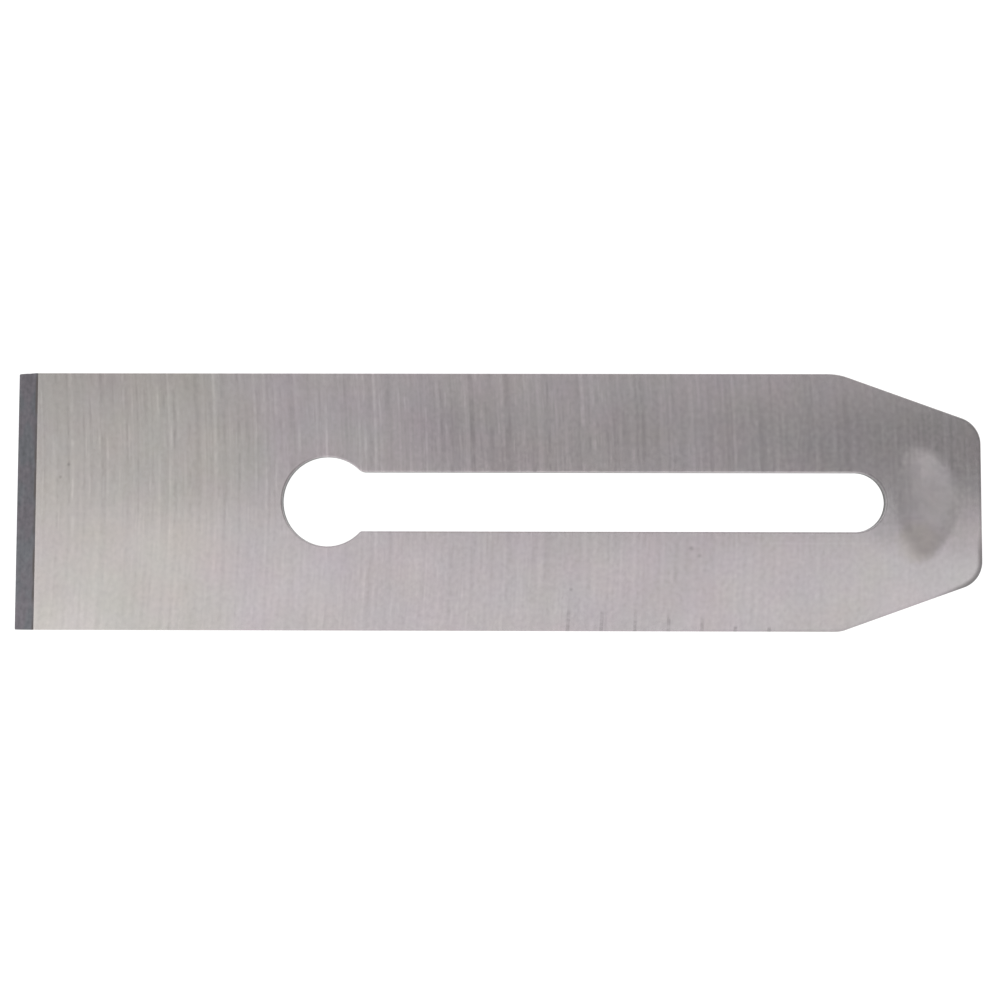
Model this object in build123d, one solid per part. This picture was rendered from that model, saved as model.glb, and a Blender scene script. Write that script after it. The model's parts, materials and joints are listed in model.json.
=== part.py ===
from build123d import *
from math import asin, degrees, radians, tan
import os

# The iron of a bench plane: one flat steel plate. One end is ground to a cutting edge, a keyhole
# slot runs down its middle, and the other end tapers to a blunt tail. Lengths are in millimetres
# and angles in degrees.
#
# The origin is the middle of the plate's footprint, on its flat back (z = 0). +X runs from the
# cutting edge to the tail, +Y across the blade, and +Z out of the side that carries the bevel.

# Plate: 7 1/2 in by 2 in
LENGTH = 190.5
WIDTH = 50.8
THICKNESS = 2.05
EDGE_BREAK = 0.15  # radius left on every edge but the cutting edge

# Bevel
BEVEL_ANGLE = 25.0  # between the bevel and the flat back

# Tail
SHOULDER_FROM_EDGE = 162.6  # where the sides start to draw in
TAPER_ANGLE = 19.8  # of each tapered side to the blade's length
SHOULDER_RADIUS = 9.0
TAIL_CORNER_RADIUS = 5.5

# Keyhole slot: a round hole that a screw head drops through, and a slot that its shank slides in
HOLE_FROM_EDGE = 61.87
HOLE_RADIUS = 8.83
SLOT_WIDTH = 11.65
SLOT_END_FROM_EDGE = 165.95  # the middle of the slot's round end
THROAT_RADIUS = 1.0  # where the slot's sides run into the round hole

# Shallow oval hollow pressed into the bevelled side, between the slot and the tail
HOLLOW_FROM_EDGE = 179.3
HOLLOW_LENGTH = 13.8
HOLLOW_WIDTH = 23.0
HOLLOW_DEPTH = 0.12

CLEAR = 1.0  # how far a cutting tool stands outside the plate

EDGE_X = -LENGTH / 2
TAIL_X = LENGTH / 2
SHOULDER_X = EDGE_X + SHOULDER_FROM_EDGE
HOLE_X = EDGE_X + HOLE_FROM_EDGE
SLOT_END_X = EDGE_X + SLOT_END_FROM_EDGE
HOLLOW_X = EDGE_X + HOLLOW_FROM_EDGE
HALF_WIDTH = WIDTH / 2
TAIL_HALF_WIDTH = HALF_WIDTH - (TAIL_X - SHOULDER_X) * tan(radians(TAPER_ANGLE))


def near_x(vertices, x):
    """The vertices that stand at this distance along the blade."""
    return [v for v in vertices if abs(v.X - x) < EDGE_BREAK]


def outline():
    """The plate from above: straight sides, a tapered tail and round corners."""
    corners = [
        (EDGE_X, -HALF_WIDTH),
        (SHOULDER_X, -HALF_WIDTH),
        (TAIL_X, -TAIL_HALF_WIDTH),
        (TAIL_X, TAIL_HALF_WIDTH),
        (SHOULDER_X, HALF_WIDTH),
        (EDGE_X, HALF_WIDTH),
    ]
    face = make_face(Polyline(*corners, close=True))
    face = fillet(near_x(face.vertices(), TAIL_X), TAIL_CORNER_RADIUS)
    return fillet(near_x(face.vertices(), SHOULDER_X), SHOULDER_RADIUS)


def keyhole():
    """The round hole and the slot, as one opening with soft throats where they meet."""
    run = SLOT_END_X - HOLE_X
    slot = Pos(HOLE_X + run / 2, 0) * SlotCenterToCenter(run, SLOT_WIDTH)
    opening = slot + Pos(HOLE_X, 0) * Circle(HOLE_RADIUS)
    throat_x = HOLE_X + (HOLE_RADIUS**2 - (SLOT_WIDTH / 2) ** 2) ** 0.5
    return fillet(near_x(opening.vertices(), throat_x), THROAT_RADIUS)


def plate():
    """The blanked plate, its edges broken all round except where the cutting edge will be."""
    blank = extrude(outline() - keyhole(), THICKNESS)
    rims = blank.edges().group_by(Axis.Z)
    rounded = [e for e in rims[0] + rims[-1] if e.center().X > EDGE_X + EDGE_BREAK]
    return fillet(rounded, EDGE_BREAK)


def bevel_waste():
    """The wedge that grinding takes off, from the top of the plate down to the cutting edge."""
    top = THICKNESS + CLEAR
    section = [
        (EDGE_X, 0),
        (EDGE_X + top / tan(radians(BEVEL_ANGLE)), top),
        (EDGE_X - CLEAR, top),
        (EDGE_X - CLEAR, 0),
    ]
    face = Plane.XZ * make_face(Polyline(*section, close=True))
    return extrude(face, HALF_WIDTH + CLEAR, both=True)


def arc_radius(chord, depth):
    """The radius of the arc that sinks this deep below this chord."""
    return chord**2 / (8 * depth) + depth / 2


def hollow_waste():
    """A lens that leaves the hollow: an arc along the blade, swung on a larger one across it."""
    floor = THICKNESS - HOLLOW_DEPTH
    rim = THICKNESS + HOLLOW_DEPTH
    along = arc_radius(HOLLOW_LENGTH, HOLLOW_DEPTH)
    across = arc_radius(HOLLOW_WIDTH, HOLLOW_DEPTH)
    reach = (2 * along * (rim - floor) - (rim - floor) ** 2) ** 0.5
    ends = [(HOLLOW_X - reach, rim), (HOLLOW_X + reach, rim)]
    bow = ThreePointArc(ends[0], (HOLLOW_X, floor), ends[1])
    section = Plane.XZ * make_face([bow, Line(ends[1], ends[0])])
    swing = degrees(asin(HOLLOW_WIDTH / across))
    pivot = Axis((0, 0, floor + across), (1, 0, 0))
    return revolve(section.rotate(pivot, -swing), pivot, 2 * swing)


def plane_iron():
    return plate() - bevel_waste() - hollow_waste()


os.makedirs("parts", exist_ok=True)
export_step(plane_iron(), "parts/plane_iron.step")
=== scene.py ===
"""A bench plane's iron, bare ground steel, on a white table under soft studio light.

Lengths are in metres, in the CAD model's own frame: the origin is the middle of the footprint on
the flat back, +X runs from the cutting edge to the tail, and +Z points out of the bevelled side.
The low side is the one towards -Y, and the high side the one towards +Y.
"""

import json
import math

import bmesh
import bpy
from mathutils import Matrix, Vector
from mathutils.geometry import delaunay_2d_cdt


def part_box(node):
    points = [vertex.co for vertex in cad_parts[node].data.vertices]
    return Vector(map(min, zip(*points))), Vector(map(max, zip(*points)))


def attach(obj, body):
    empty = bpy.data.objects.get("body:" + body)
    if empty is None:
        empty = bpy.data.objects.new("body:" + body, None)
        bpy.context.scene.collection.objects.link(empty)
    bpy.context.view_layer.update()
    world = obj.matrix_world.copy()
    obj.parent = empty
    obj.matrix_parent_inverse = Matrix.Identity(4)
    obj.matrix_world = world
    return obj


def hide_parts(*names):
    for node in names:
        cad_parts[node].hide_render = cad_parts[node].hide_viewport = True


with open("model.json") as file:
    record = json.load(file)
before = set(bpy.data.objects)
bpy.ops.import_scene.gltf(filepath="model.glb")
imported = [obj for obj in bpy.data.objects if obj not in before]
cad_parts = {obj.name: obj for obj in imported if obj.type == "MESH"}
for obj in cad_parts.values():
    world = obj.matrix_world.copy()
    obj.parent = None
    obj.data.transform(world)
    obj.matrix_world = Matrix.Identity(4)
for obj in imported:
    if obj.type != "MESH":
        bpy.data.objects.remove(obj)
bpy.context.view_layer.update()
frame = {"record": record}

MM = 0.001

# ---- Sizes that the frame gives ----

low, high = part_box("plane_iron")
EDGE_X, TAIL_X = low.x, high.x
HALF_WIDTH, THICKNESS = high.y, high.z
mounts = {m["name"]: m for m in frame["record"]["mounts"]}
HOLE_X = mounts["keyhole"]["pos_m"][0]
HOLE_RADIUS = mounts["keyhole"]["dims"]["r_mm"] * MM

# ---- The design's other sizes ----
# A pair of radii is for the low and the high side.

BEVEL_ANGLE = math.radians(25)
SHOULDER_X = EDGE_X + 162.6 * MM
TAPER_ANGLE = math.radians(19.8)
SHOULDER_RADII = 6 * MM, 12 * MM
TAIL_CORNER_RADIUS = 5.5 * MM
SLOT_HALF_WIDTH = 5.825 * MM
SLOT_END_X = EDGE_X + 165.95 * MM
THROAT_RADII = 0.7 * MM, 2.2 * MM  # where the slot runs into the hole
HEEL_X = EDGE_X + THICKNESS / math.tan(BEVEL_ANGLE)  # where the bevel meets the flat
HOLLOW_X = EDGE_X + 179.6 * MM
HOLLOW_HALF = Vector((6.0 * MM, 11.1 * MM))  # half its size along and across the blade
HOLLOW_DEPTH = 0.165 * MM
HOLLOW_LEAN = 0.06  # its high end leans towards the cutting edge by this slope
HOLLOW_BOW = 1.7 * MM  # its two ends lie this much nearer to the cutting edge than its middle
HOLLOW_EGG = 0.16  # it is wider by this share at its high end, and narrower at its low end
HOLLOW_SOFT = 0.3  # how softly it runs out at its rim, 0 is sharp
HOLLOW_LIMIT = 1.15  # it ends this many times its half size from its middle

# ---- Marks on the steel, and painted shade at the keyhole's rim ----

GRIND_RADIUS = 333 * MM  # of the arcs that the grinding wheel left, bowed towards the tail
GRIND_DEPTH = 0.003 * MM
CHATTER_START, CHATTER_STEP = 11.66 * MM, 6.56 * MM  # the marks stand in the middle of each step
SCUFF_Y = -8.1 * MM
SMUDGES = (  # x, y, radius and tone: more than 0 is lighter
    (-6 * MM, 11 * MM, 20 * MM, -0.07),
    (-84 * MM, -30 * MM, 14 * MM, 0.12),
    (48 * MM, 11 * MM, 20 * MM, 0.06),
    (92 * MM, -7 * MM, 7 * MM, -0.07),
    (77 * MM, -5 * MM, 6 * MM, -0.1),
    (86 * MM, -5.5 * MM, 6 * MM, 0.07),
    (88 * MM, 5 * MM, 5 * MM, -0.09),
    (-28 * MM, -14 * MM, 10 * MM, -0.04),
)
PITS = (  # x, y and radius
    (-84.5 * MM, 7.2 * MM, 0.5 * MM),
    (-86.1 * MM, 4.7 * MM, 0.5 * MM),
    (14.7 * MM, -17.2 * MM, 0.6 * MM),
    (38.3 * MM, -9.1 * MM, 0.7 * MM),
    (39.9 * MM, -10.5 * MM, 0.6 * MM),
)
LOW_SIDE_WEAR, TAIL_WEAR, KEYHOLE_SHADE = 0.48, 0.54, 0.8  # 0 is clean, and the tail's low corner is 1; the keyhole's darkening is painted shade
HOLE_SHADED_AT, SLOT_SHADED_AT = math.radians(155), math.radians(40)  # directions from their centres
PLATE_BAND, KEYHOLE_BAND = 1.4 * MM, 0.22 * MM  # widths of the darkened bands inside the edges: worn at the plate, painted shade at the keyhole

# ---- The mesh's own sizes ----

ARC_STEP = math.radians(4)
GRID_STEP = 6 * MM  # along straight edges and over the flats
GRID_CLEAR = 2 * MM  # between the grid and an edge
BREAK_STEPS = 5
SHARP_ANGLE = math.radians(22)  # less than the bevel's, more than one step of a rounded edge
EDGE_BREAK = 0.15 * MM
FLAT_RIM = 0.08 * MM  # a narrow ring on each flat keeps the rounded edge from shading it
SHEAR_LINE = 0.9 * MM  # height at which the punch's clean cut turns into torn metal
SHEAR_DRAFT = 0.03 * MM  # how far the wall steps back there
HOLLOW_RINGS = 24
BLANK_EXTRA = 1.0 * MM  # the blank starts this far before the cutting edge


# ---- Outlines ----


def polar(radius, angle):
    return Vector((radius * math.cos(angle), radius * math.sin(angle)))


def arc(centre, radius, start, end):
    """Points from the angle start to the angle end."""
    steps = max(2, round(abs(end - start) / ARC_STEP))
    return [centre + polar(radius, start + (end - start) * i / steps) for i in range(steps + 1)]


def plate_outline(inset):
    """The plate's edge from above, anticlockwise, moved into the steel by inset."""
    tail_half = HALF_WIDTH - (TAIL_X - SHOULDER_X) * math.tan(TAPER_ANGLE)
    start = EDGE_X - BLANK_EXTRA
    corners = [
        (Vector((start, -HALF_WIDTH)), 0),
        (Vector((SHOULDER_X, -HALF_WIDTH)), SHOULDER_RADII[0]),
        (Vector((TAIL_X, -tail_half)), TAIL_CORNER_RADIUS),
        (Vector((TAIL_X, tail_half)), TAIL_CORNER_RADIUS),
        (Vector((SHOULDER_X, HALF_WIDTH)), SHOULDER_RADII[1]),
        (Vector((start, HALF_WIDTH)), 0),
    ]
    points = []
    for i, (corner, radius) in enumerate(corners):
        before = (corner - corners[i - 1][0]).normalized()
        after = (corners[(i + 1) % len(corners)][0] - corner).normalized()
        inward = [Vector((-d.y, d.x)) for d in (before, after)]
        middle = (inward[0] + inward[1]) / (1 + inward[0].dot(inward[1]))
        if radius == 0:
            points.append(corner + middle * inset)
            continue
        start_angle = math.atan2(-inward[0].y, -inward[0].x)
        turn = -before.angle_signed(after)
        points += arc(corner + middle * radius, radius - inset, start_angle, start_angle + turn)
    return points


def keyhole_outline(inset):
    """The keyhole's edge from above, clockwise, moved into the steel by inset."""
    hole, end = Vector((HOLE_X, 0)), Vector((SLOT_END_X, 0))
    throats, bites = [], []
    for radius in THROAT_RADII:
        off_middle = SLOT_HALF_WIDTH + radius
        bite = math.asin(off_middle / (HOLE_RADIUS + radius))
        throats.append(Vector((HOLE_X + (HOLE_RADIUS + radius) * math.cos(bite), off_middle)))
        bites.append(bite)
    below, above = Vector((throats[0].x, -throats[0].y)), throats[1]
    quarter = math.pi / 2
    return (
        arc(hole, HOLE_RADIUS + inset, 2 * math.pi - bites[0], bites[1])
        + arc(above, THROAT_RADII[1] - inset, bites[1] + math.pi, 3 * quarter)
        + arc(end, SLOT_HALF_WIDTH + inset, quarter, -quarter)
        + arc(below, THROAT_RADII[0] - inset, quarter, math.pi - bites[0])
    )


def divided(outline, inset):
    """An outline with points along its straight stretches, equally many at each inset."""
    whole, moved, points = outline(0), outline(inset), []
    for i, p in enumerate(moved):
        j = (i + 1) % len(moved)
        steps = max(1, round((whole[j] - whole[i]).length / GRID_STEP))
        points += [p.lerp(moved[j], step / steps) for step in range(steps)]
    return points


def edge_profile(band):
    """(inset, height, wear_and_shade) up the plate's edge, from the back to a band on the bevelled side."""
    turns = [i / BREAK_STEPS * math.pi / 2 for i in range(BREAK_STEPS + 1)]
    back = [(EDGE_BREAK * (1 - math.sin(a)), EDGE_BREAK * (1 - math.cos(a)), 1) for a in turns]
    front = [
        (SHEAR_DRAFT + EDGE_BREAK * (1 - math.cos(a)), THICKNESS - EDGE_BREAK * (1 - math.sin(a)), 1)
        for a in turns
    ]
    rim = back[0][0] + FLAT_RIM
    shear = [(0, SHEAR_LINE - SHEAR_DRAFT, 1), (SHEAR_DRAFT, SHEAR_LINE + SHEAR_DRAFT, 1)]
    top = rim + SHEAR_DRAFT
    return [(rim, 0, 0), *back, *shear, *front, (top, THICKNESS, 1), (top + band, THICKNESS, 0)]


# ---- The plate's mesh ----

STEEL, BEVEL, EDGE = range(3)  # material slots


def hollow_axis(y):
    """The x of the hollow's leaning, bowed middle line."""
    return HOLLOW_X - HOLLOW_LEAN * y - HOLLOW_BOW * (y / HOLLOW_HALF.y) ** 2


def hollow_half_width(y):
    return HOLLOW_HALF.x * (1 + HOLLOW_EGG * y / HOLLOW_HALF.y)


def hollow_reach(x, y):
    """0 in the middle of the hollow, 1 at its rim and more outside."""
    return math.hypot((x - hollow_axis(y)) / hollow_half_width(y), y / HOLLOW_HALF.y)


def hollow_sink(x, y):
    """How far the hollow sinks below the flat here: a bowl that runs out softly."""
    reach = hollow_reach(x, y)
    if reach > HOLLOW_LIMIT:
        return 0.0
    inside, least = 1 - reach**2, 1 - HOLLOW_LIMIT**2
    bowl = [(depth + math.hypot(depth, HOLLOW_SOFT)) / 2 for depth in (inside, least)]
    return HOLLOW_DEPTH * (bowl[0] - bowl[1])


def hollow_points():
    """Ovals of points from the hollow's middle outwards, for the bevelled side's faces to bend at."""
    points = [Vector((HOLLOW_X, 0))]
    for ring in range(1, HOLLOW_RINGS + 1):
        count = 6 * ring
        for i in range(count):
            round_point = polar(HOLLOW_LIMIT * ring / HOLLOW_RINGS, 2 * math.pi * i / count)
            y = round_point.y * HOLLOW_HALF.y
            points.append(Vector((hollow_axis(y) + round_point.x * hollow_half_width(y), y)))
    return points


def grid_points():
    """A grid between the cutting edge and the shoulders, so that the flats have no long thin triangles."""
    points = []
    rows = round(HALF_WIDTH / GRID_STEP)
    for i in range(round((SHOULDER_X - EDGE_X) / GRID_STEP)):
        for j in range(-rows, rows):
            p = Vector((EDGE_X + GRID_STEP * (i + 0.5), GRID_STEP * (j + 0.5)))
            beside_slot = p.x < HOLE_X or abs(p.y) > SLOT_HALF_WIDTH + GRID_CLEAR
            outside_hole = (p - Vector((HOLE_X, 0))).length > HOLE_RADIUS + GRID_CLEAR
            if beside_slot and outside_hole and abs(p.y) < HALF_WIDTH - GRID_CLEAR:
                points.append(p)
    return points


def facing(p, centre, angle):
    """1 where p lies in this direction from centre, down to 0 at a right angle to it."""
    return max((p - centre).normalized().dot(polar(1, angle)), 0)


def rise(value, low, high):
    """0 up to low, 1 from high on, and even in between."""
    return min(max((value - low) / (high - low), 0), 1)


def plate_wear(p):
    """How worn and dark the plate's rim is here: most at the tail's low corner."""
    low_side = LOW_SIDE_WEAR * rise(p.x, EDGE_X, SHOULDER_X) if p.y < 0 else 0
    tail = rise((p.x - SHOULDER_X) / (TAIL_X - SHOULDER_X), 0.65, 0.9)
    low_corner = rise(-p.y, 6 * MM, 12 * MM)
    return max(tail * (TAIL_WEAR + (1 - TAIL_WEAR) * low_corner), low_side)


def keyhole_painted_shade(p):
    """How dark the keyhole's rim is here, in painted shade: at the hole's far side and the slot's round
    end.
    """
    if p.x < 0:
        return KEYHOLE_SHADE * facing(p, Vector((HOLE_X, 0)), HOLE_SHADED_AT)
    return KEYHOLE_SHADE * facing(p, Vector((SLOT_END_X, 0)), SLOT_SHADED_AT)


def wall(bm, outline, band, wear_and_shade_here):
    """Rings of faces up one edge of the plate. Returns its first and last ring of vertices."""
    wear_and_shade_layer = bm.verts.layers.float["wear_and_shade"]
    rings = []
    for inset, height, wear_and_shade in edge_profile(band):
        ring = []
        for p in divided(outline, inset):
            vert = bm.verts.new((p.x, p.y, height))
            vert[wear_and_shade_layer] = wear_and_shade * wear_and_shade_here(p)
            ring.append(vert)
        rings.append(ring)
    wall_levels = range(BREAK_STEPS + 1, BREAK_STEPS + 4)  # between the two rounded edges
    for level, (lower, upper) in enumerate(zip(rings, rings[1:])):
        for i in range(len(lower)):
            j = (i + 1) % len(lower)
            face = bm.faces.new((lower[i], lower[j], upper[j], upper[i]))
            face.material_index = EDGE if level in wall_levels else STEEL
    return rings[0], rings[-1]


def flat(bm, outer, inner, extra, height):
    """Fills a flat between its outer ring and its keyhole's ring, with a vertex at each extra point."""
    verts = outer + inner + [bm.verts.new((p.x, p.y, height - hollow_sink(p.x, p.y))) for p in extra]
    plate_face = list(range(len(outer)))
    keyhole_face = [len(outer) + i for i in reversed(range(len(inner)))]
    triangles_inside, tolerance = 1, 1e-9
    _, _, faces, sources, _, covers = delaunay_2d_cdt(
        [v.co.xy for v in verts], [], [plate_face, keyhole_face], triangles_inside, tolerance
    )
    for face, cover in zip(faces, covers):
        if 1 not in cover:  # 1 is the keyhole
            bm.faces.new([verts[sources[i][0]] for i in face])


def grind_bevel(bm):
    """Takes the wedge off the front of the blank and closes the cut with the bevel."""
    geometry = bm.verts[:] + bm.edges[:] + bm.faces[:]
    normal = Vector((-math.sin(BEVEL_ANGLE), 0, math.cos(BEVEL_ANGLE)))
    bmesh.ops.bisect_plane(
        bm, geom=geometry, dist=1e-8, plane_co=(EDGE_X, 0, 0), plane_no=normal, clear_outer=True
    )
    open_edges = [e for e in bm.edges if e.is_boundary]
    made = bmesh.ops.triangle_fill(bm, use_beauty=True, edges=open_edges)
    for item in made["geom"]:
        if isinstance(item, bmesh.types.BMFace):
            item.material_index = BEVEL


def plate_mesh():
    """The whole plate. Its "plan" coordinates give the gloss its direction, and "wear_and_shade" its dark
    rims: worn at the outer edge, painted shade at the keyhole.
    """
    bm = bmesh.new()
    bm.verts.layers.float.new("wear_and_shade")
    outer = wall(bm, plate_outline, PLATE_BAND, plate_wear)
    inner = wall(bm, keyhole_outline, KEYHOLE_BAND, keyhole_painted_shade)
    flat(bm, outer[0], inner[0], grid_points(), 0)
    flat(bm, outer[1], inner[1], grid_points() + hollow_points(), THICKNESS)
    grind_bevel(bm)
    bmesh.ops.recalc_face_normals(bm, faces=bm.faces)
    layer = bm.loops.layers.uv.new("plan")
    for face in bm.faces:
        face.smooth = True
        for corner in face.loops:
            corner[layer].uv = corner.vert.co.xy / (TAIL_X - EDGE_X)
    mesh = bpy.data.meshes.new("plane_iron_steel")
    bm.to_mesh(mesh)
    bm.free()
    mesh.set_sharp_from_angle(angle=SHARP_ANGLE)
    return mesh


# ---- Materials ----

WARM_STEEL, COOL_STEEL, TAIL_STEEL = (0.684, 0.644, 0.620), (0.684, 0.629, 0.646), (0.681, 0.635, 0.647)
STAIN_TINT = (0.965, 0.97, 0.92)
# the bevel's steel, darkened by painted shade
SHADED_BEVEL_STEELS = (0.275, 0.28, 0.305), (0.305, 0.285, 0.315)
# dark, for the patchy band on the bevel next to the heel
HEEL_DARK = (0.21, 0.19, 0.185)
TORN_STEEL, BURNISHED_STEEL = (0.125, 0.12, 0.12), (0.17, 0.165, 0.165)


def node(tree, kind, inputs=None, **settings):
    """Adds a shader node. An input that is given a socket is linked to it."""
    made = tree.nodes.new("ShaderNode" + kind)
    for name, value in settings.items():
        setattr(made, name, value)
    for key, value in (inputs or {}).items():
        if isinstance(value, bpy.types.NodeSocket):
            tree.links.new(value, made.inputs[key])
        else:
            made.inputs[key].default_value = value
    return made


def maths(tree, operation, first, second=0.0):
    return node(tree, "Math", {0: first, 1: second}, operation=operation).outputs[0]


def ramp(tree, value, low, high, start=0.0, end=1.0):
    """Goes smoothly from start to end as value goes from low to high."""
    limits = {"Value": value, "From Min": low, "From Max": high, "To Min": start, "To Max": end}
    return node(tree, "MapRange", limits, interpolation_type="SMOOTHSTEP").outputs[0]


def blend(tree, factor, first, second, kind="MIX"):
    """Mixes two colours. Each one is a colour, a number or a socket."""
    made = node(tree, "Mix", {"Factor": factor}, data_type="RGBA", blend_type=kind)
    for key, value in (("A", first), ("B", second)):
        socket = next(i for i in made.inputs if i.name == key and i.type == "RGBA")
        if isinstance(value, bpy.types.NodeSocket):
            tree.links.new(value, socket)
        else:
            socket.default_value = (*value, 1)
    return next(o for o in made.outputs if o.type == "RGBA")


def dim(tree, colour, amount):
    """Multiplies a colour by a number."""
    return blend(tree, 1.0, colour, amount, "MULTIPLY")


def product(tree, *values):
    total = values[0]
    for value in values[1:]:
        total = maths(tree, "MULTIPLY", total, value)
    return total


def noise(tree, place, scale, seed, detail=1.0, output="Fac"):
    """Noise from about 0 to 1. Its features are as large as scale, which is (x, y, z) in metres."""
    settings = {"Vector": place, "Location": (seed, seed, 0), "Scale": [1 / size for size in scale]}
    spread = node(tree, "Mapping", settings)
    made = node(tree, "TexNoise", {"Vector": spread.outputs[0], "Scale": 1, "Detail": detail})
    return made.outputs[output]


def clouds(tree, place, size, seed, output="Fac"):
    return noise(tree, place, (size, size, size), seed, 2.0, output)


def grinding(tree, path, width, length, seed):
    """Noise drawn out along the grinding lines."""
    return noise(tree, path, (width, length, 1), seed)


def blank_material(name):
    made = bpy.data.materials.new(name)
    made.use_nodes = True
    tree = made.node_tree
    shader = next(n for n in tree.nodes if n.type == "BSDF_PRINCIPLED")
    shader.inputs["Metallic"].default_value = 1
    place = node(tree, "TexCoord").outputs["Object"]
    return made, tree, shader, place


def along(tree, place):
    """The x, y and z of a place."""
    return node(tree, "SeparateXYZ", {0: place}).outputs


def wheel_path(tree, place):
    """A place whose x stays the same along one arc of the grinding wheel."""
    x, y, _ = along(tree, place)
    bow = maths(tree, "MULTIPLY", maths(tree, "MULTIPLY", y, y), 0.5 / GRIND_RADIUS)
    return node(tree, "CombineXYZ", {"X": maths(tree, "ADD", x, bow), "Y": y}).outputs[0]


def brushed(tree, shader, anisotropy):
    """Turns the gloss so that highlights spread along the blade, across the grinding lines."""
    shader.inputs["Anisotropic"].default_value = anisotropy
    tangent = node(tree, "Tangent", direction_type="UV_MAP", uv_map="plan")
    tree.links.new(tangent.outputs[0], shader.inputs["Tangent"])


def relief(tree, shader, height, depth):
    """Marks that stand this deep where height goes from 0 to 1."""
    bump = node(tree, "Bump", {"Height": height, "Strength": 1, "Distance": depth})
    tree.links.new(bump.outputs[0], shader.inputs["Normal"])


def weighted(tree, *pairs):
    """The sum of each value times its weight."""
    total = 0.0
    for value, weight in pairs:
        total = maths(tree, "ADD", maths(tree, "MULTIPLY", value, weight), total)
    return total


def scratches(tree, path, width, length, seed):
    """Lines along the wheel's path, light and dark, each one there only for stretches of this length."""
    line = maths(tree, "SUBTRACT", grinding(tree, path, width, 400 * MM, seed), 0.5)
    there = ramp(tree, grinding(tree, path, 2 * width, length, seed + 50), 0.34, 0.66)
    return maths(tree, "MULTIPLY", line, there)


def steel_lines(tree, path):
    """The grinding lines of the flats: light is above 0 and dark below. They fade towards the tail."""
    x, y, _ = along(tree, path)
    lines = weighted(
        tree,
        (scratches(tree, path, 1.2 * MM, 8 * MM, 3), 0.62),
        (scratches(tree, path, 2.0 * MM, 18 * MM, 11), 0.45),
        (scratches(tree, path, 4.5 * MM, 40 * MM, 29), 0.3),
        (scratches(tree, path, 1.0 * MM, 3.2 * MM, 17), 0.7),
        (ramp(tree, grinding(tree, path, 0.6 * MM, 8 * MM, 53), 0.6, 0.8), 0.13),
    )
    across = ramp(tree, y, -0.8 * HALF_WIDTH, 0.5 * HALF_WIDTH, 0.7, 1.7)
    past_middle = ramp(tree, x, 5 * MM, 45 * MM, 1, 0.55)
    at_tail = ramp(tree, x, 58 * MM, 72 * MM, 1, 0.7)
    lines = product(tree, lines, across, past_middle, at_tail)
    grain = maths(tree, "SUBTRACT", grinding(tree, path, 0.95 * MM, 1.1 * MM, 23), 0.5)
    return weighted(tree, (lines, 1), (grain, 0.32))


def chatter(tree, path):
    """Marks that the wheel left where it shook: evenly spaced, at the low edge of the tail's half."""
    x, y, _ = along(tree, path)
    turn = maths(tree, "DIVIDE", maths(tree, "SUBTRACT", x, CHATTER_START), CHATTER_STEP)
    off = maths(tree, "ABSOLUTE", maths(tree, "SUBTRACT", maths(tree, "FRACT", turn), 0.5))
    mark = ramp(tree, off, 0.03, 0.075, 1, 0)
    first, last = ramp(tree, turn, -0.3, 0.3), ramp(tree, turn, 6.6, 7.2, 1, 0)
    length = ramp(tree, turn, 3.4, 5.6, 4.8 * MM, 1.2 * MM)
    reach = ramp(tree, maths(tree, "DIVIDE", maths(tree, "ADD", y, HALF_WIDTH), length), 0.6, 1, 1, 0)
    knots = ramp(tree, noise(tree, path, (3 * MM, 1.1 * MM, 1), 41), 0.35, 0.6, 0.35, 1)
    return product(tree, mark, knots, first, last, reach)


def distance(tree, place, x, y):
    """How far a place on the bevelled side is from this one."""
    ends = {0: place, 1: (x, y, THICKNESS)}
    return node(tree, "VectorMath", ends, operation="DISTANCE").outputs["Value"]


def spot(tree, place, x, y, radius, core):
    """1 round this point of the bevelled side, out to core times radius, and 0 beyond radius."""
    return ramp(tree, distance(tree, place, x, y), core * radius, radius, 1, 0)


def pits(tree, place):
    """The small pits, 1 in their middles."""
    return weighted(tree, *[(spot(tree, place, x, y, radius, 0.1), 1) for x, y, radius in PITS])


def smudges(tree, place):
    """The broad faint marks, light and dark."""
    return weighted(tree, *[(spot(tree, place, x, y, radius, 0.2), tone) for x, y, radius, tone in SMUDGES])


def scuff(tree, place):
    """One thin bright line that something rubbed along the slot's low side."""
    x, y, _ = along(tree, place)
    off = maths(tree, "ABSOLUTE", maths(tree, "SUBTRACT", y, SCUFF_Y))
    line = ramp(tree, off, 0.05 * MM, 0.2 * MM, 1, 0)
    return product(tree, line, ramp(tree, x, 48 * MM, 56 * MM), ramp(tree, x, 70 * MM, 78 * MM, 1, 0))


def bevelled_side(tree, place):
    """1 on the bevelled side and 0 on the back."""
    return ramp(tree, along(tree, place)[2], 0.5 * THICKNESS, 0.9 * THICKNESS)


def pressed(tree, place):
    """1 in the hollow and 0 outside it, with a soft rim."""
    x, y, _ = along(tree, place)
    off_x = maths(tree, "DIVIDE", maths(tree, "SUBTRACT", x, HOLLOW_X), HOLLOW_HALF.x)
    off_y = maths(tree, "DIVIDE", y, HOLLOW_HALF.y)
    reach = weighted(tree, (off_x, off_x), (off_y, off_y))
    return maths(tree, "MULTIPLY", bevelled_side(tree, place), ramp(tree, reach, 0.45, 1.1, 1, 0))


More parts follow.
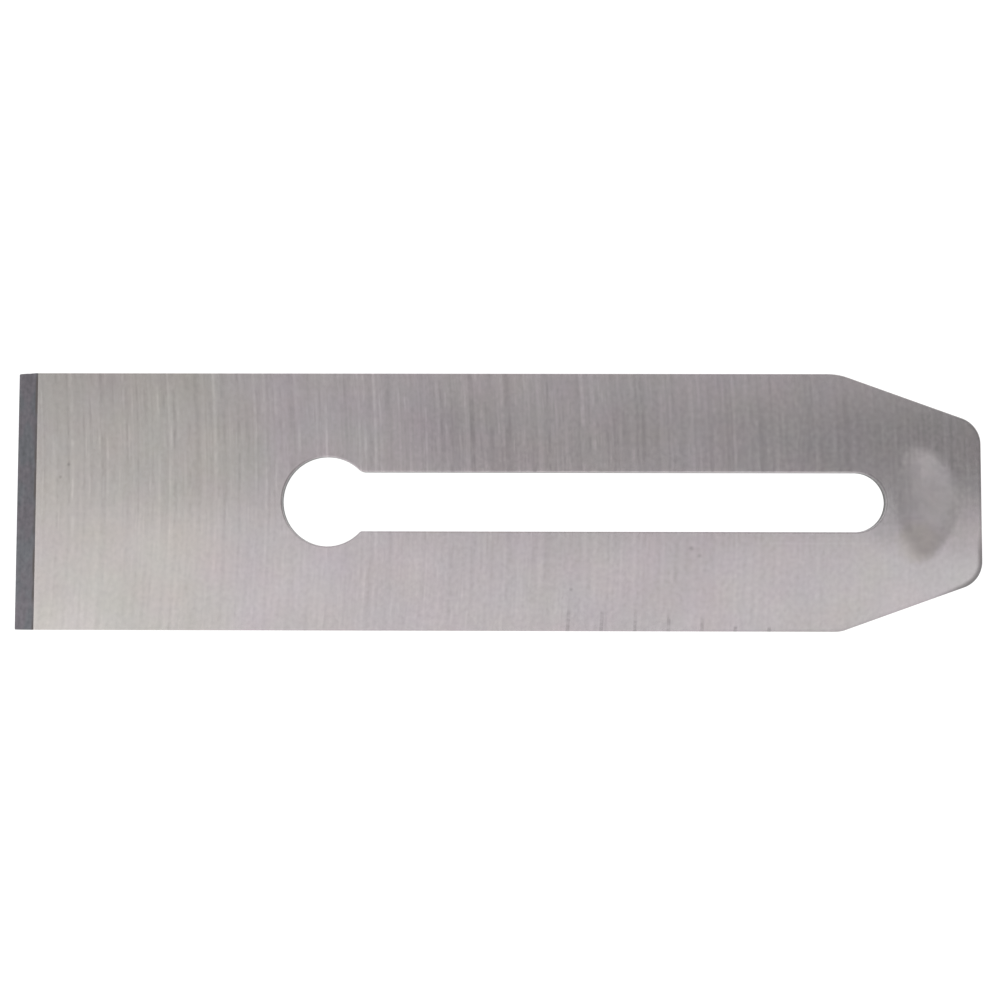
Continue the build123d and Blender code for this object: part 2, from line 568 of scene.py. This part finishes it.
def hollow_painted_shading(tree, place):
    """Painted light and shade in the hollow: mottled, a little lighter towards the tail and darker on the
    other side.
    """
    x, y, _ = along(tree, place)
    lean = weighted(tree, (x, 1), (y, 0.2), (clouds(tree, place, 4 * MM, 83), 2.5 * MM))
    # painted shade on the hollow's side towards the cutting edge, and a little painted light towards the
    # tail
    side = ramp(tree, lean, HOLLOW_X - 3 * MM, HOLLOW_X + 3 * MM, -0.05, 0.01)
    mottle = ramp(tree, clouds(tree, place, 1.6 * MM, 91), 0.3, 0.7, -0.035, 0.035)
    return maths(tree, "MULTIPLY", maths(tree, "ADD", side, mottle), pressed(tree, place))


def stain(tree, place):
    """A faint warm stain over the low end of the hollow, ragged at its rim."""
    away = distance(tree, place, HOLLOW_X - 1.5 * MM, -7.5 * MM)
    ragged = weighted(tree, (away, 1), (clouds(tree, place, 3 * MM, 71), 4 * MM))
    return ramp(tree, ragged, 4.5 * MM, 7.5 * MM, 1, 0)


def steel_tint(tree, place):
    """The steel under its marks: warmer near the cutting edge and more neutral at the tail."""
    x, _, _ = along(tree, place)
    drift = weighted(tree, (x, 1), (clouds(tree, place, 30 * MM, 5), 30 * MM))
    tint = blend(tree, ramp(tree, drift, -45 * MM, -25 * MM), WARM_STEEL, COOL_STEEL)
    tint = blend(tree, ramp(tree, drift, 60 * MM, 90 * MM), tint, TAIL_STEEL)
    return blend(tree, 0.025, tint, clouds(tree, place, 9 * MM, 7, "Color"), "LINEAR_LIGHT")


def front_marks_and_shading(tree, place, path):
    """All the marks that only the bevelled side has, and the hollow's painted light and shade: more than 0
    is lighter.
    """
    marks = weighted(
        tree,
        (smudges(tree, place), 1),
        (scuff(tree, place), 0.05),
        (chatter(tree, path), -0.24),
        # the hollow's painted light and shade
        (hollow_painted_shading(tree, place), 1),
        (pits(tree, place), -0.2),
    )
    return maths(tree, "MULTIPLY", marks, bevelled_side(tree, place))


def ground_steel():
    """The flats: grinding lines across the blade, marks, painted light and shade in the hollow, and dark
    rims, worn at the outer edge and painted shade at the keyhole.
    """
    made, tree, shader, place = blank_material("ground_steel")
    x, _, _ = along(tree, place)
    path = wheel_path(tree, place)
    kept_lines = ramp(tree, pressed(tree, place), 0, 1, 1, 0.5)
    lines = maths(tree, "MULTIPLY", steel_lines(tree, path), kept_lines)
    patches = ramp(tree, clouds(tree, place, 14 * MM, 61), 0.25, 0.75, -0.025, 0.025)
    light = weighted(tree, (lines, 0.65), (patches, 1), (front_marks_and_shading(tree, place, path), 1))

    colour = dim(tree, steel_tint(tree, place), maths(tree, "ADD", light, 1))
    colour = dim(tree, colour, ramp(tree, x, HEEL_X, HEEL_X + 0.6 * MM, 1.07, 1))
    stained = maths(tree, "MULTIPLY", stain(tree, place), bevelled_side(tree, place))
    colour = blend(tree, stained, colour, STAIN_TINT, "MULTIPLY")
    # dark rims: worn at the plate's outer edge, painted shade at the keyhole's
    worn = node(tree, "Attribute", attribute_name="wear_and_shade").outputs["Fac"]
    colour = dim(tree, colour, ramp(tree, worn, 0.3, 0.95, 1, 0.45))
    tree.links.new(colour, shader.inputs["Base Color"])
    tree.links.new(ramp(tree, lines, -0.2, 0.2, 0.235, 0.265), shader.inputs["Roughness"])
    relief(tree, shader, lines, GRIND_DEPTH)
    brushed(tree, shader, 1.0)
    return made


def ground_bevel():
    """The bevel: bluer, and darker by painted shade, freshly ground along the cutting edge, with a patchy
    dark band at the heel.
    """
    made, tree, shader, place = blank_material("ground_bevel")
    x, y, _ = along(tree, place)
    lines = noise(tree, place, (0.9 * MM, 7 * MM, 1), 23)
    grain = noise(tree, place, (0.9 * MM, 1.1 * MM, 1), 31)
    tint = ramp(tree, noise(tree, place, (4 * MM, 7 * MM, 1), 37), 0.42, 0.58)
    colour = blend(tree, tint, *SHADED_BEVEL_STEELS)
    light = weighted(tree, (lines, 0.4), (grain, 0.55))
    colour = dim(tree, colour, maths(tree, "ADD", light, 0.525))
    # painted shade: darker towards the high side, lighter towards the low side
    colour = dim(tree, colour, ramp(tree, y, -0.9 * HALF_WIDTH, 0.3 * HALF_WIDTH, 1.04, 0.89))
    # a patchy dark band on the bevel next to the heel
    patchy = ramp(tree, noise(tree, place, (3 * MM, 5 * MM, 1), 43), 0.35, 0.6, 0.3, 1)
    near_heel = ramp(tree, x, HEEL_X - 0.75 * MM, HEEL_X - 0.3 * MM)
    colour = blend(tree, maths(tree, "MULTIPLY", patchy, near_heel), colour, HEEL_DARK)
    tree.links.new(colour, shader.inputs["Base Color"])
    shader.inputs["Roughness"].default_value = 0.3
    relief(tree, shader, lines, GRIND_DEPTH)
    brushed(tree, shader, 0.8)
    return made


def sheared_edge():
    """The punched walls: burnished above, torn and duller below, with marks up the wall."""
    made, tree, shader, place = blank_material("sheared_edge")
    height = along(tree, place)[2]
    marks = noise(tree, place, (0.2 * MM, 0.2 * MM, 3 * MM), 0, 3.0)
    burnished = ramp(tree, height, SHEAR_LINE - 0.1 * MM, SHEAR_LINE + 0.1 * MM)
    colour = blend(tree, burnished, TORN_STEEL, BURNISHED_STEEL)
    colour = dim(tree, colour, ramp(tree, marks, 0.3, 0.7, 0.8, 1.2))
    tree.links.new(colour, shader.inputs["Base Color"])
    tree.links.new(ramp(tree, burnished, 0, 1, 0.5, 0.36), shader.inputs["Roughness"])
    relief(tree, shader, marks, 0.02 * MM)
    return made


# ---- The plate ----


def add(name, data):
    made = bpy.data.objects.new(name, data)
    bpy.context.scene.collection.objects.link(made)
    return made


plate = add("plane_iron_steel", plate_mesh())
for material in (ground_steel(), ground_bevel(), sheared_edge()):
    plate.data.materials.append(material)
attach(plate, "root")
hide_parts("plane_iron")

# ---- Table, light and camera ----

TABLE_HALF = 1.5
TABLE_GAP = 0.01 * MM  # below the plate
TABLE_GREY = 0.3
TABLE_GLOW = 0.95  # a light table, so that the plate casts no shadow
WALL_GLOW, OVERHEAD_GLOW = 0.7, 0.1
WALL_TOP, OVERHEAD = 0.3, 0.6  # sines of the angle above the horizon, with a soft change between
CEILING = 1.2
CEILING_COLUMNS = ("left", -1.44, -0.12), ("middle", -0.12, 0.3), ("right", 0.3, 1.44)
CEILING_ROWS = (  # each with the glows of its three panels
    ("front", -1.44, 0.054, (0.65, 0.35, 0.65)),
    ("gap", 0.054, 0.168, (0.5, 0.2, 0.05)),
    ("back", 0.168, 1.44, (0.35, 0.35, 0.25)),
)
CAMERA_PLACE = Vector((2.95 * MM, -14.06 * MM, 280.29 * MM))
CAMERA_TURN = 2.963, 0.454, 0.13  # degrees from straight down
CAMERA_LENS = 50.98  # on a frame of 36, both in millimetres


def table_top():
    bm = bmesh.new()
    height = low.z - TABLE_GAP
    corners = [(-1, -1), (1, -1), (1, 1), (-1, 1)]
    bm.faces.new([bm.verts.new((x * TABLE_HALF, y * TABLE_HALF, height)) for x, y in corners])
    mesh = bpy.data.meshes.new("table")
    bm.to_mesh(mesh)
    bm.free()
    made = add("table", mesh)
    panel = bpy.data.materials.new("light_table")
    panel.use_nodes = True
    shader = next(n for n in panel.node_tree.nodes if n.type == "BSDF_PRINCIPLED")
    shader.inputs["Base Color"].default_value = (TABLE_GREY, TABLE_GREY, TABLE_GREY, 1)
    shader.inputs["Roughness"].default_value = 0.9
    shader.inputs["Emission Color"].default_value = (1, 1, 1, 1)
    shader.inputs["Emission Strength"].default_value = TABLE_GLOW
    mesh.materials.append(panel)


def ceiling_panel(name, x_span, y_span, glow):
    """A soft light in the ceiling that fills this rectangle, equally bright all over."""
    lamp = bpy.data.lights.new(name, "AREA")
    lamp.shape = "RECTANGLE"
    lamp.size, lamp.size_y = x_span[1] - x_span[0], y_span[1] - y_span[0]
    lamp.energy = 4 * lamp.size * lamp.size_y * glow  # one glow looks as bright at any size
    add(name, lamp).location = (sum(x_span) / 2, sum(y_span) / 2, CEILING)


def soft_ceiling():
    """Panels side by side. Most in the gap are dim, and the plate's high half mirrors them."""
    for row, y_start, y_end, glows in CEILING_ROWS:
        for (column, x_start, x_end), glow in zip(CEILING_COLUMNS, glows):
            if glow:
                ceiling_panel(f"{row}_{column}", (x_start, x_end), (y_start, y_end), glow)


def studio_walls():
    """The light that comes from round the table: pale near the horizon, dimmer overhead."""
    world = bpy.data.worlds.new("studio")
    world.use_nodes = True
    tree = world.node_tree
    height = along(tree, node(tree, "TexCoord").outputs["Generated"])[2]
    glow = ramp(tree, height, WALL_TOP, OVERHEAD, WALL_GLOW, OVERHEAD_GLOW)
    tree.links.new(glow, tree.nodes["Background"].inputs["Color"])
    bpy.context.scene.world = world


table_top()
soft_ceiling()
studio_walls()

camera = add("camera", bpy.data.cameras.new("camera"))
camera.data.sensor_width = 36
camera.data.lens = CAMERA_LENS
camera.data.clip_start = 0.01
camera.location = CAMERA_PLACE
camera.rotation_euler = [math.radians(angle) for angle in CAMERA_TURN]
bpy.context.scene.camera = camera
bpy.context.scene.view_settings.view_transform = "Standard"
